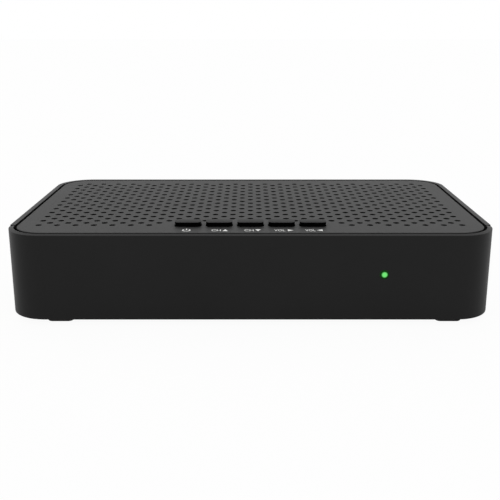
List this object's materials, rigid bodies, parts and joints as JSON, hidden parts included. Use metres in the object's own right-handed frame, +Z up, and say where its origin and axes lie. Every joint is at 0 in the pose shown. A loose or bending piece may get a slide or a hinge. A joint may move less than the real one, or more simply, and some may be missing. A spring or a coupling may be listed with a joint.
{
  "type": "satellite television receiver",
  "caption": "Low set-top satellite receiver with a perforated inset lid, a row of push keys, a status light and rear sockets.",
  "frame": {"origin": "bottom centre of the object's box, on the plane of the feet", "axes": "+Z up, the front with the keys and the status light faces -Y, the width lies along X"},
  "size_m": [0.17, 0.1076, 0.0342],
  "materials": {
    "case_plastic": "satin black moulded plastic",
    "panel_plastic": "satin black moulded plastic",
    "lid_plastic": "satin black moulded plastic with a fine grain",
    "key_plastic": "satin black moulded plastic",
    "rear_steel": "black powder coat on sheet steel",
    "switch_plastic": "black moulded plastic",
    "plunger_plastic": "dark brown moulded plastic",
    "spring_steel": "bright spring steel",
    "circuit_board": "green solder mask",
    "screw_steel": "zinc plated steel",
    "clear_light_plastic": "tinted clear plastic",
    "light_emitter": "green diffused epoxy",
    "eye_plastic": "dark infrared epoxy",
    "socket_plastic": "black glass-filled plastic",
    "ribbon_film": "pale grey film",
    "insulator_plastic": "natural white plastic",
    "contact_brass": "gold plated brass",
    "plated_steel": "nickel plate",
    "plated_brass": "nickel plated brass",
    "coaxial_shell": "orange moulded plastic",
    "tinned_steel": "tin plate",
    "jack_plastic": "black moulded plastic",
    "reader_plastic": "dark grey glass-filled plastic",
    "chip_plastic": "moulded epoxy",
    "pad_rubber": "soft silicone",
    "sink_aluminium": "black anodised extrusion",
    "capacitor_sleeve": "shrink sleeve",
    "inductor_body": "pressed iron powder",
    "label_film": "blank silver-grey film",
    "foot_rubber": "moulded rubber",
    "legend_ink": "pale printed ink"
  },
  "bodies": {
    "case": {"aerial_contacts": "contact_brass", "aerial_insulators": "insulator_plastic", "aerial_nuts": "plated_steel", "aerial_washers": "plated_steel", "audio_insulator": "insulator_plastic", "av_jack": "jack_plastic", "base_tray": "case_plastic", "board_screws": "screw_steel", "capacitors": "capacitor_sleeve", "card_contacts": "contact_brass", "card_reader": "reader_plastic", "case_screws": "screw_steel", "coaxial_audio_socket": "coaxial_shell", "crystal": "plated_steel", "data_socket": "plated_steel", "data_tongue": "socket_plastic", "digital_video_socket": "plated_steel", "digital_video_tongue": "socket_plastic", "foot_front_left": "foot_rubber", "foot_front_right": "foot_rubber", "foot_rear_left": "foot_rubber", "foot_rear_right": "foot_rubber", "front_panel": "panel_plastic", "heat_sink": "sink_aluminium", "inductors": "inductor_body", "key_board": "circuit_board", "key_board_screws": "screw_steel", "key_switches": "switch_plastic", "light_pipe": "clear_light_plastic", "main_board": "circuit_board", "memory_chips": "chip_plastic", "network_contacts": "contact_brass", "network_socket": "socket_plastic", "power_jack": "jack_plastic", "power_pin": "plated_steel", "processor": "chip_plastic", "rating_label": "label_film", "rear_panel": "rear_steel", "receiver_eye": "eye_plastic", "ribbon_cable": "ribbon_film", "ribbon_sockets": "socket_plastic", "satellite_in_socket": "plated_brass", "satellite_loop_socket": "plated_brass", "status_light": "light_emitter", "switch_domes": "spring_steel", "thermal_pad": "pad_rubber", "top_cover": "lid_plastic", "tuner_can": "tinned_steel", "tuner_lid": "tinned_steel"},
    "key_power": {"key_power": "key_plastic", "plunger_power": "plunger_plastic"},
    "key_channel_up": {"key_channel_up": "key_plastic", "plunger_channel_up": "plunger_plastic"},
    "key_channel_down": {"key_channel_down": "key_plastic", "plunger_channel_down": "plunger_plastic"},
    "key_volume_up": {"key_volume_up": "key_plastic", "plunger_volume_up": "plunger_plastic"},
    "key_volume_down": {"key_volume_down": "key_plastic", "plunger_volume_down": "plunger_plastic"}
  },
  "joints": [
    {"name": "power_press", "type": "slide", "parent": "case", "child": "key_power", "axis": [0, 0, -1], "range_m": [0, 0.0005], "stiffness_N_per_m": 300},
    {"name": "channel_up_press", "type": "slide", "parent": "case", "child": "key_channel_up", "axis": [0, 0, -1], "range_m": [0, 0.0005], "stiffness_N_per_m": 300},
    {"name": "channel_down_press", "type": "slide", "parent": "case", "child": "key_channel_down", "axis": [0, 0, -1], "range_m": [0, 0.0005], "stiffness_N_per_m": 300},
    {"name": "volume_up_press", "type": "slide", "parent": "case", "child": "key_volume_up", "axis": [0, 0, -1], "range_m": [0, 0.0005], "stiffness_N_per_m": 300},
    {"name": "volume_down_press", "type": "slide", "parent": "case", "child": "key_volume_down", "axis": [0, 0, -1], "range_m": [0, 0.0005], "stiffness_N_per_m": 300}
  ]
}
